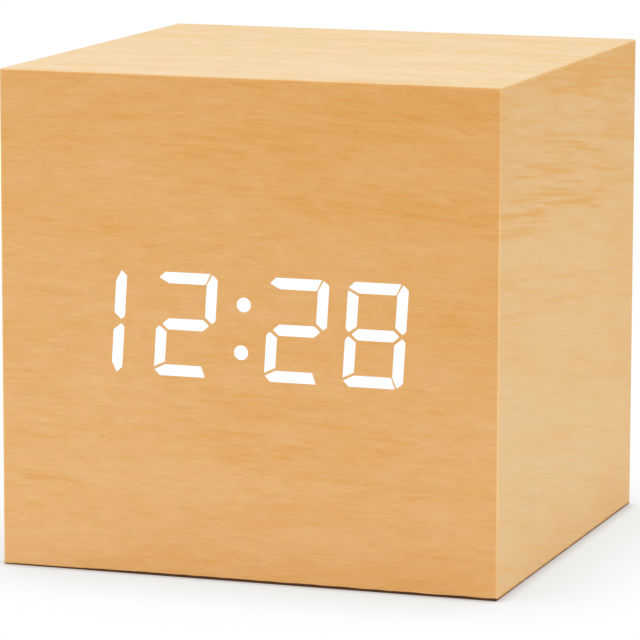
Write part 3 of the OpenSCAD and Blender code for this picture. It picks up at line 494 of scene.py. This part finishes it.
# The sides' linear colour as a multiple of the front's, in plain wood and in dark streaks: painted
# sheen and light that make the sides paler, with a part that is the veneer's own paler colour.
SIDE_SHEEN_TINT = (1.02, 1.275, 1.81, 1)
SIDE_STREAK_SHEEN_TINT = (1.06, 1.235, 1.60, 1)


def sides_paler_by_sheen(t, colour, tone, x, share):
    """The sheet is painted paler on the sides than on the front, for the sheen and light that fall
    there and in part for a paler veneer, least so in the dark of its grain: by the whole tint on
    the right, and by half of it on the left."""
    shade = t.mix(t.ramp(tone, (0.2, 0.75)), SIDE_STREAK_SHEEN_TINT, SIDE_SHEEN_TINT)
    share = t.math("MULTIPLY", share, left_right(t, x, 0.5, 1.0))
    return t.mix(share, colour, t.mix(1.0, colour, shade, blend="MULTIPLY"))


def side_sheen_tint(t, colour, tone, x, y, z):
    """The wrapped sheet has the sides' paler colour, in part painted sheen and light, from its
    front corners on.
    """
    behind_front = t.span(t.math("SUBTRACT", y, FRONT_Y), (0.03, 0.28))
    return sides_paler_by_sheen(t, colour, tone, x, behind_front)


def top_edge_tint(t, colour, tone, x, y, z):
    """The cut edge of the top sheet, flush with front and sides, has their colour at the top of the
    wrap, with the sides' painted sheen and light."""
    front_tone, wrap_light = -0.17, 0.976
    side = outer_side(t, x)
    darker = t.math("MULTIPLY_ADD", side, left_right(t, x, -0.02, -0.15), front_tone)
    tone = t.math("ADD", tone, darker)
    wrap = sides_paler_by_sheen(t, t.scaled(grain_colour(t, tone, *WOOD), wrap_light), tone, x, side)
    return t.mix(t.span(z, (HEIGHT - 0.08, HEIGHT - 0.2)), colour, wrap)


def rim_sheen_tint(t, colour, tone, x, y, z):
    """The strips' outer edges, flush with the sides, have the sides' paler colour, in part painted
    sheen and light.
    """
    return sides_paler_by_sheen(t, colour, tone, x, outer_side(t, x))


def fibreboard(t):
    """Pressed wood fibre: short pale and dark fibres in every direction over an even brown."""
    place, x, y, z = t.place()
    fibres = t.noise(place, scale=1.6, detail=6.0, roughness=0.75)
    broad = t.noise(place, scale=0.15)
    tone = t.sum((fibres, 0.7), (broad, 0.3))
    return {
        "Base Color": t.mix(t.spread(tone), srgb(128, 92, 56), srgb(186, 148, 102)),
        "Roughness": t.spread(fibres, (0.95, 0.8)),
        "Normal": t.bump(fibres, depth=0.06, strength=0.7),
    }


def block_wood(t):
    """Sawn softwood: rings along Y and saw marks across it."""
    saw_pitch = 0.7
    place, x, y, z = t.place()
    grain = t.use(WOOD_GRAIN, Along=y, Across=t.sum((x, 0.6), (z, 1.0)), Seed=31.0, Sway=0.8,
                  Figure=1.0, Flame=0.3)
    tone = t.span(t.math("ADD", grain["Tone"], grain["Fleck"]), (0.2, 0.8))
    saw = t.math("PINGPONG", t.math("DIVIDE", y, saw_pitch), 0.5)
    return {
        "Base Color": t.mix(tone, srgb(176, 132, 82), srgb(222, 188, 138)),
        "Roughness": t.span(saw, (0.0, 0.5), (0.75, 0.9)),
        "Normal": t.bump(t.sum((saw, 0.4), (grain["Height"], 0.6)), depth=0.05, strength=0.6),
    }


def glowing(t):
    """Lit light guide: an even white glow, with a breath of cool in its diffusing grain."""
    place, x, y, z = t.place()
    grain = t.noise(place, scale=1.5)
    return {
        "Base Color": t.mix(t.spread(grain), (0.10, 0.10, 0.11, 1), (0.13, 0.13, 0.13, 1)),
        "Roughness": t.spread(grain, (0.35, 0.45)),
        "Emission Color": t.mix(t.spread(grain), (0.97, 0.99, 1, 1), WHITE),
    }


SHADE_RANGE = (0.3, 0.75)  # most of the moulded grain's shade lies in it


def moulded(dark, light, size, depth, rough):
    """Moulded plastic from dark to light, with a grain of that size and depth, and its range of
    roughness."""

    def draw(t):
        place, x, y, z = t.place()
        grain = t.use(MOULDED, Place=place, Size=size)
        return {
            "Base Color": t.mix(t.span(grain["Shade"], SHADE_RANGE), dark, light),
            "Roughness": t.spread(grain["Haze"], rough),
            "Normal": t.bump(grain["Height"], depth=depth, strength=0.6),
        }

    return draw


def metal(dark, light, stretch, rough):
    """Bare metal from dark to light, with its range of roughness. Its lines lie along the axis on
    which stretch is smallest."""

    def draw(t):
        place, x, y, z = t.place()
        finish = t.use(METAL, Place=place, Stretch=stretch)
        return {
            "Base Color": t.mix(t.spread(finish["Shade"]), dark, light),
            "Roughness": t.spread(finish["Haze"], rough),
            "Normal": t.bump(finish["Height"], depth=0.004, strength=0.5),
        }

    return draw


def circuit_board(t):
    """Green solder mask over copper tracks, which show paler and smoother through it."""
    place, x, y, z = t.place()
    tracks = t.use(TRACKS, Place=place)
    mask = t.mix(t.spread(tracks["Shade"]), srgb(18, 70, 42), srgb(26, 88, 54))
    return {
        "Base Color": t.mix(t.math("MULTIPLY", tracks["Track"], 0.6), mask, srgb(58, 124, 70)),
        "Roughness": t.span(tracks["Track"], UNIT, (0.42, 0.32)),
        "Normal": t.bump(tracks["Track"], depth=0.03, strength=0.6),
    }


# A plain finish that shares a piece with another one.
Finish = namedtuple("Finish", "colour metal rough")
TINNED = Finish(srgb(200, 200, 196), metal=1.0, rough=0.32)
CHIP_BLACK = Finish(srgb(40, 40, 43), metal=0.0, rough=0.55)
RESISTOR_BLACK = Finish(srgb(34, 36, 40), metal=0.0, rough=0.4)
CAN_BLUE = Finish(srgb(36, 52, 92), metal=0.0, rough=0.35)


def parted(inner, node, axis, low_end, high_end):
    """Two finishes on one node: inner, and bare tin over its ends on the axis, so far in from its
    lowest and its highest point. A length below 0 leaves that end as it is."""
    low, high = (corner[axis] for corner in node_box(node))

    def draw(t):
        vector, *places = t.place()
        share = t.math("MAXIMUM", t.math("LESS_THAN", places[axis], low + low_end),
                       t.math("GREATER_THAN", places[axis], high - high_end))
        grain = t.use(MOULDED, Place=vector, Size=0.2)
        plain = t.mix(share, inner.colour, TINNED.colour)
        haze = t.spread(grain["Haze"], (-0.06, 0.06))
        return {
            "Base Color": t.scaled(plain, t.span(grain["Shade"], SHADE_RANGE, (0.85, 1.1))),
            "Metallic": t.sum((share, TINNED.metal - inner.metal), (1.0, inner.metal)),
            "Roughness": t.sum((share, TINNED.rough - inner.rough), (1.0, inner.rough),
                               (haze, 1.0)),
            "Normal": t.bump(grain["Height"], depth=0.01, strength=0.4),
        }

    return draw


def battery_sleeve(name, way):
    """Printed sleeve of a cell: slate blue with a pale band at the plus end, bare metal at both
    ends, and a plus and a minus sign facing the door. way is 1 where the button points to +X, and
    -1 where it points to -X."""
    plus_from_end, minus_from_end, half_long, half_stroke = 5.6, 4.6, 1.3, 0.32
    band_length, button_length, foot_length = 8.6, 1.6, 0.7
    low, high = node_box(name)
    _, middle_y, middle_z = (low + high) / 2
    minus_x, plus_x = (low[X], high[X])[::way]

    def draw(t):
        place, x, y, z = t.place()
        from_plus = t.math("MULTIPLY", t.math("SUBTRACT", plus_x, x), way)
        from_minus = t.math("MULTIPLY", t.math("SUBTRACT", x, minus_x), way)
        up = t.math("ABSOLUTE", t.math("SUBTRACT", z, middle_z))
        outward = t.math("GREATER_THAN", y, middle_y)

        def bar(distance, centre, half_wide, half_high):
            near = t.math("ABSOLUTE", t.math("SUBTRACT", distance, centre))
            inside = t.math("MULTIPLY", t.math("LESS_THAN", near, half_wide),
                            t.math("LESS_THAN", up, half_high))
            return t.math("MULTIPLY", inside, outward)

        plus = t.math("MAXIMUM", bar(from_plus, plus_from_end, half_long, half_stroke),
                      bar(from_plus, plus_from_end, half_stroke, half_long))
        minus = bar(from_minus, minus_from_end, half_long, half_stroke)
        band = t.math("LESS_THAN", from_plus, band_length)
        ends = t.math("MAXIMUM", t.math("LESS_THAN", from_plus, button_length),
                      t.math("LESS_THAN", from_minus, foot_length))
        grain = t.use(MOULDED, Place=place, Size=0.5)
        shade = t.span(grain["Shade"], SHADE_RANGE)
        blue = t.mix(shade, srgb(40, 66, 98), srgb(52, 82, 118))
        pale = t.mix(shade, srgb(196, 200, 204), srgb(214, 217, 220))
        bare = t.mix(shade, srgb(188, 188, 184), srgb(212, 212, 208))
        ink = t.mix(band, srgb(226, 228, 230), srgb(36, 56, 84))
        printed = t.mix(t.math("MAXIMUM", plus, minus), t.mix(band, blue, pale), ink)
        return {
            "Base Color": t.mix(ends, printed, bare),
            "Metallic": ends,
            "Roughness": t.sum((ends, -0.02), (t.spread(grain["Haze"]), 0.12), (1.0, 0.26)),
            "Normal": t.bump(grain["Height"], depth=0.004, strength=0.3),
        }

    return draw


def ribbon(t):
    """Flat cable: parallel cores across its width, with the first one red."""
    core_pitch = 1.27
    low, _ = node_box("ribbon_cable")
    place, x, y, z = t.place()
    across = t.math("SUBTRACT", x, low[X])
    core = t.math("PINGPONG", t.math("DIVIDE", across, core_pitch), 0.5)
    first = t.math("LESS_THAN", across, core_pitch)
    noise = t.noise(place, scale=0.8)
    grey = t.mix(t.spread(noise), srgb(128, 131, 138), srgb(150, 153, 158))
    colour = t.mix(first, grey, srgb(170, 52, 44))
    return {
        "Base Color": t.mix(t.span(core, (0.12, 0.0)), colour, srgb(84, 86, 92)),
        "Roughness": t.spread(noise, (0.5, 0.62)),
        "Normal": t.bump(t.math("SQRT", core), depth=0.25, strength=0.8),
    }


def print_white(t):
    """Pad-printed ink: off-white, and a little greyer where it is thin."""
    place, x, y, z = t.place()
    thin = t.noise(place, scale=3.0, detail=3.0)
    return {
        "Base Color": t.mix(t.spread(thin), srgb(198, 199, 200), srgb(228, 229, 229)),
        "Roughness": t.spread(thin, (0.5, 0.65)),
        "Normal": t.bump(thin, depth=0.01, strength=0.4),
    }


def dress(names, finish):
    """Gives a material to CAD nodes, in every slot they have."""
    for name in names:
        mesh = NODES[name].data
        if not mesh.materials:
            mesh.materials.append(finish)
        for i in range(len(mesh.materials)):
            mesh.materials[i] = finish


dress(["veneer_wrap"], veneer("veneer_wrap", wrapped_sheet, WOOD, seed=3.7, figure=wrap_figure,
                              arris=RUBBED_AND_HIGHLIGHT, reach=0.32, wear=hand_wear_and_highlight, tint=side_sheen_tint))
dress(["veneer_top"], veneer("veneer_top", flat_sheet, TOP_WOOD_AND_SHEEN, seed=9.2, figure=top_figure,
                             arris=RUBBED_AND_HIGHLIGHT, tint=top_edge_tint))
dress(["veneer_base"], veneer("veneer_base", flat_sheet, WOOD, seed=14.5, figure=even_figure,
                              arris=FOOT_SHADE, reach=0.6, wear=painted_foot_shade))
dress(["veneer_rim"], veneer("veneer_rim", rim_sheet, WOOD, seed=21.8, figure=even_figure,
                             arris=RUBBED_AND_HIGHLIGHT, tint=rim_sheen_tint))

dress(["front_board", "left_board", "right_board", "top_board", "base_board"],
      material("fibreboard", fibreboard))
dress(["corner_blocks"], material("block_wood", block_wood))
dress(["hour_tens_digit", "hour_units_digit", "colon_dots", "minute_tens_digit",
       "minute_units_digit"],
      material("lit_segment", glowing, **{"Emission Strength": 0.88}))
dress(["display_board", "key_board"], material("circuit_green", circuit_board))
dress(["ribbon_cable"], material("ribbon_grey", ribbon))
for chip in ("controller_chip", "driver_chip"):
    dress([chip], material(chip, parted(CHIP_BLACK, chip, Z, low_end=1.05, high_end=1.05)))
dress(["chip_resistors"], material("chip_resistors", parted(
    RESISTOR_BLACK, "chip_resistors", Z, low_end=0.4, high_end=0.4)))
dress(["capacitor"], material("capacitor_blue", parted(
    CAN_BLUE, "capacitor", Y, low_end=-1.0, high_end=0.15)))
for cell, way in (("battery_1", 1), ("battery_2", -1), ("battery_3", 1)):
    dress([cell], material(cell, battery_sleeve(cell, way)))

# Each moulded finish: its nodes, dark and light in sRGB, size and depth of its grain, roughness.
MOULDED_FINISHES = {
    "clear_segment": (["unlit_segments"],
                      (206, 212, 214), (224, 228, 230), 0.3, 0.01, (0.25, 0.4)),
    "reflector_white": (["display_reflector"],
                        (236, 236, 230), (246, 246, 242), 0.25, 0.015, (0.45, 0.6)),
    "led_yellow": (["led_chips"], (232, 206, 120), (246, 232, 176), 0.3, 0.02, (0.3, 0.45)),
    "header_ivory": (["display_header", "key_board_header"],
                     (218, 211, 190), (236, 231, 214), 0.2, 0.012, (0.4, 0.55)),
    "panel_black": (["rear_panel", "battery_door"],
                    (25, 25, 27), (36, 36, 38), 0.22, 0.03, (0.46, 0.62)),
    "button_black": (["set_button", "up_button", "down_button"],
                     (34, 34, 37), (45, 45, 48), 0.12, 0.008, (0.30, 0.44)),
    "plunger_cream": (["set_plunger", "up_plunger", "down_plunger"],
                      (214, 207, 186), (232, 226, 208), 0.2, 0.01, (0.35, 0.5)),
    "switch_grey": (["set_switch", "up_switch", "down_switch"],
                    (74, 74, 79), (98, 98, 103), 0.2, 0.015, (0.4, 0.55)),
    "socket_black": (["usb_insert", "buzzer"],
                     (20, 20, 22), (32, 32, 34), 0.2, 0.012, (0.4, 0.55)),
    "red_wire": (["red_lead"], (168, 36, 30), (196, 56, 46), 0.5, 0.01, (0.38, 0.5)),
    "black_wire": (["black_lead"], (22, 22, 23), (36, 36, 37), 0.5, 0.01, (0.38, 0.5)),
}
mouldings = {}
for name, (nodes, dark, light, size, depth, rough) in MOULDED_FINISHES.items():
    mouldings[name] = material(name, moulded(srgb(*dark), srgb(*light), size, depth, rough))
    dress(nodes, mouldings[name])

# Each bare metal: its nodes, dark and light in sRGB, stretch of its lines, roughness.
METAL_FINISHES = {
    "bright_steel": (["positive_contact", "negative_contact", "link_contacts", "contact_springs"],
                     (176, 178, 180), (216, 217, 218), (1.5, 9.0, 9.0), (0.22, 0.38)),
    "rolled_steel": (["usb_shell", "watch_crystal", "microphone"],
                     (164, 166, 170), (206, 208, 211), (8.0, 1.2, 8.0), (0.25, 0.42)),
    "zinc_screw": (["display_board_screws", "key_board_screws"],
                   (150, 150, 146), (198, 197, 190), (6.0, 2.0, 6.0), (0.3, 0.5)),
    "dark_steel": (["rear_panel_screws"],
                   (44, 44, 47), (70, 70, 74), (6.0, 2.0, 6.0), (0.32, 0.5)),
}
for name, (nodes, dark, light, stretch, rough) in METAL_FINISHES.items():
    dress(nodes, material(name, metal(srgb(*dark), srgb(*light), stretch, rough), Metallic=1.0))


def closed_rings(name, rings):
    """A closed skin over rings of points.

    rings is an array of ring, point and coordinate; neighbouring rings are joined by quads, and the
    first and the last ring are closed by fans to their middles.
    """
    count, around = rings.shape[:2]
    ends = rings[[0, -1]].mean(axis=1)
    points = np.concatenate([rings.reshape(-1, 3), ends])
    k = np.arange(around)
    n = (k + 1) % around
    base = np.arange(count - 1)[:, None] * around
    walls = np.stack([base + n, base + around + n, base + around + k, base + k], axis=-1)
    first, last = count * around, count * around + 1
    top = np.stack([np.full(around, first), n, k], axis=-1)
    foot = (count - 1) * around
    bottom = np.stack([np.full(around, last), foot + k, foot + n], axis=-1)
    faces = walls.reshape(-1, 4).tolist() + top.tolist() + bottom.tolist()
    mesh = bpy.data.meshes.new(name)
    mesh.from_pydata((points * MM).tolist(), [], faces)
    mesh.validate()
    piece = bpy.data.objects.new(name, mesh)
    bpy.context.scene.collection.objects.link(piece)
    return piece


REAR_FACE = node_box("rear_panel")[1][Y]  # the door lies flush with it
SUNK = 0.02


def sign_on_rear(name, outline, centre, rise, edge, body, finish):
    """A flat sign on the panel or the door: an outline in X and Z about its centre, filled and
    raised.

    Going from the outer face down, the rings are the outline drawn in by edge, the full outline a
    little lower, and the full outline sunk under the face.
    """
    inner = outline * (1 - edge / np.linalg.norm(outline, axis=1).mean())
    levels = [(inner, REAR_FACE + rise), (outline, REAR_FACE + rise - edge),
              (outline, REAR_FACE - SUNK)]
    rings = np.stack([
        np.stack([centre[0] + ring[:, 0], np.full(len(ring), y), centre[1] + ring[:, 1]], axis=-1)
        for ring, y in levels
    ])
    piece = closed_rings(name, rings)
    piece.data.materials.append(finish)
    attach(piece, body)


def rounded_polygon(corners, radius, steps=6):
    """A convex outline, counter-clockwise, with each corner rounded by an arc of the given radius.

    The arc's middle lies on the line that halves the corner, radius over the sine of the half angle
    away from it, and the arc turns by what the corner lacks to a straight line.
    """
    before = np.roll(corners, 1, axis=0) - corners
    after = np.roll(corners, -1, axis=0) - corners
    before /= np.linalg.norm(before, axis=1, keepdims=True)
    after /= np.linalg.norm(after, axis=1, keepdims=True)
    half = np.arccos((before * after).sum(axis=1)) / 2
    inward = (before + after) / np.linalg.norm(before + after, axis=1, keepdims=True)
    middles = corners + inward * (radius / np.sin(half))[:, None]
    start = np.arctan2(-before[:, 0], before[:, 1]) + math.pi
    turn = math.pi - 2 * half
    angle = start[:, None] + turn[:, None] * np.linspace(0, 1, steps)[None, :]
    arcs = middles[:, None, :] + radius * np.stack([np.cos(angle), np.sin(angle)], axis=-1)
    return arcs.reshape(-1, 2)


def dot(radius, steps=40):
    """A circle about 0, counter-clockwise."""
    angle = np.linspace(0, 2 * math.pi, steps, endpoint=False)
    return radius * np.stack([np.cos(angle), np.sin(angle)], axis=-1)


TRIANGLE = np.array([(-0.75, -0.6), (0.75, -0.6), (0.0, 0.7)])
ARROW = np.array([(0.0, -1.9), (2.6, 1.4), (-2.6, 1.4)])
SIGN_DROP = 3.5  # from the buttons' middles down to their signs
ARROW_HEIGHT = 13.4  # above the door's lower edge
buttons = {name: sum(node_box(name)) / 2 for name in ("up_button", "down_button", "set_button")}
sign_z = buttons["up_button"][Z] - SIGN_DROP
button_signs = {
    "up": rounded_polygon(TRIANGLE, radius=0.12),
    "down": rounded_polygon(-TRIANGLE, radius=0.12),
    "set": dot(radius=0.6),
}
print_finish = material("print_white", print_white)
for key, outline in button_signs.items():
    sign_on_rear(key + "_sign", outline, (buttons[key + "_button"][X], sign_z), rise=0.03,
                 edge=0.01, body="case", finish=print_finish)
arrow_z = node_box("battery_door")[0][Z] + ARROW_HEIGHT
sign_on_rear("door_arrow", rounded_polygon(ARROW, radius=0.3), (0.0, arrow_z), rise=0.3, edge=0.12,
             body="battery_door", finish=mouldings["panel_black"])


def floor_white():
    """White sweep. Light that bounces off it meets a matt white. The camera and mirrors meet mostly
    plain white, darkened close to what stands on it by the share of the sky that is hidden there:
    softly over 17 mm, and once more at the contact over 1.5 mm."""
    soft_reach, contact_reach, plain_share = 17.0 * MM, 1.5 * MM, 0.93
    soft_shade, contact_shade = (0.67, 0.655, 0.615, 1), (0.52, 0.40, 0.33, 1)
    m = bpy.data.materials.new("floor_white")
    m.use_nodes = True
    t = Tree(m.node_tree)
    nodes = m.node_tree.nodes
    nodes.remove(next(n for n in nodes if n.type == "BSDF_PRINCIPLED"))
    output = next(n for n in nodes if n.type == "OUTPUT_MATERIAL")
    path = nodes.new("ShaderNodeLightPath").outputs
    seen = t.math("MAXIMUM", path["Is Camera Ray"], path["Is Glossy Ray"])
    seen = t.math("MAXIMUM", seen, path["Is Transmission Ray"])

    def shaded(reach, shade):
        open_sky = t.add("ShaderNodeAmbientOcclusion", {"Distance": reach}, out="AO", samples=16)
        return t.mix(open_sky, shade, WHITE)

    colour = t.mix(1.0, shaded(soft_reach, soft_shade), shaded(contact_reach, contact_shade),
                   blend="MULTIPLY")
    matt = t.add("ShaderNodeBsdfDiffuse", {"Color": (0.96, 0.96, 0.96, 1)})
    plain = t.add("ShaderNodeEmission", {"Color": colour, "Strength": 1.0})
    share = t.math("MULTIPLY", seen, plain_share)
    t.put(output.inputs["Surface"], t.add("ShaderNodeMixShader", {0: share, 1: matt, 2: plain}))
    return m


def floor_sheet(half, cells=8):
    """A level square of the given half side in metres, as a grid of cells over X and Y."""
    side = np.linspace(-half, half, cells + 1)
    x, y = np.meshgrid(side, side)
    points = np.stack([x, y, np.zeros_like(x)], axis=-1).reshape(-1, 3)
    k = np.arange(cells ** 2)
    row = cells + 1
    corner = k // cells * row + k % cells
    faces = np.stack([corner, corner + 1, corner + row + 1, corner + row], axis=-1)
    mesh = bpy.data.meshes.new("floor")
    mesh.from_pydata(points.tolist(), [], faces.tolist())
    mesh.materials.append(floor_white())
    floor = bpy.data.objects.new("floor", mesh)
    bpy.context.scene.collection.objects.link(floor)


def studio_light(side, power, place):
    """Even white surroundings, as in a light tent, with a little more from a square soft box
    overhead: its side and place in metres, its power in watts."""
    world = bpy.data.worlds.new("studio")
    world.use_nodes = True
    background = next(n for n in world.node_tree.nodes if n.type == "BACKGROUND")
    background.inputs["Color"].default_value = WHITE
    background.inputs["Strength"].default_value = 1.0
    bpy.context.scene.world = world
    data = bpy.data.lights.new("overhead", "AREA")
    data.shape = "SQUARE"
    data.size = side
    data.energy = power
    lamp = bpy.data.objects.new("overhead", data)
    lamp.location = place
    bpy.context.scene.collection.objects.link(lamp)


def photo_camera(azimuth, elevation, roll, distance, lens, target, aside, above):
    """A camera that looks at target, moved aside and above in its own picture plane.

    Back is the direction from the target to the camera, right is level, and up is back crossed with
    right; the roll turns right and up about back. Angles are degrees.
    """
    a, e, r = (math.radians(v) for v in (azimuth, elevation, roll))
    back = np.array([math.sin(a) * math.cos(e), -math.cos(a) * math.cos(e), math.sin(e)])
    right = np.array([math.cos(a), math.sin(a), 0.0])
    up = np.cross(back, right)
    place = (np.array(target) + aside * right + above * up + distance * back) * MM
    turned_right = math.cos(r) * right + math.sin(r) * up
    turned_up = math.cos(r) * up - math.sin(r) * right
    data = bpy.data.cameras.new("photo_camera")
    data.sensor_fit = "HORIZONTAL"
    data.sensor_width = 36.0
    data.lens = lens
    camera = bpy.data.objects.new("photo_camera", data)
    bpy.context.scene.collection.objects.link(camera)
    rows = np.stack([turned_right, turned_up, back, place], axis=1)
    camera.matrix_world = Matrix(rows.tolist()).to_4x4()
    bpy.context.scene.camera = camera


floor_sheet(half=8.0)
studio_light(side=0.7, power=0.6, place=(-0.1, -0.1, 0.8))
photo_camera(azimuth=18.77, elevation=9.233, roll=0.123, distance=546.9, lens=249.1,
             target=(0.0, 0.0, 31.0), aside=-0.945, above=-4.067)

bpy.context.scene.view_settings.view_transform = "Standard"
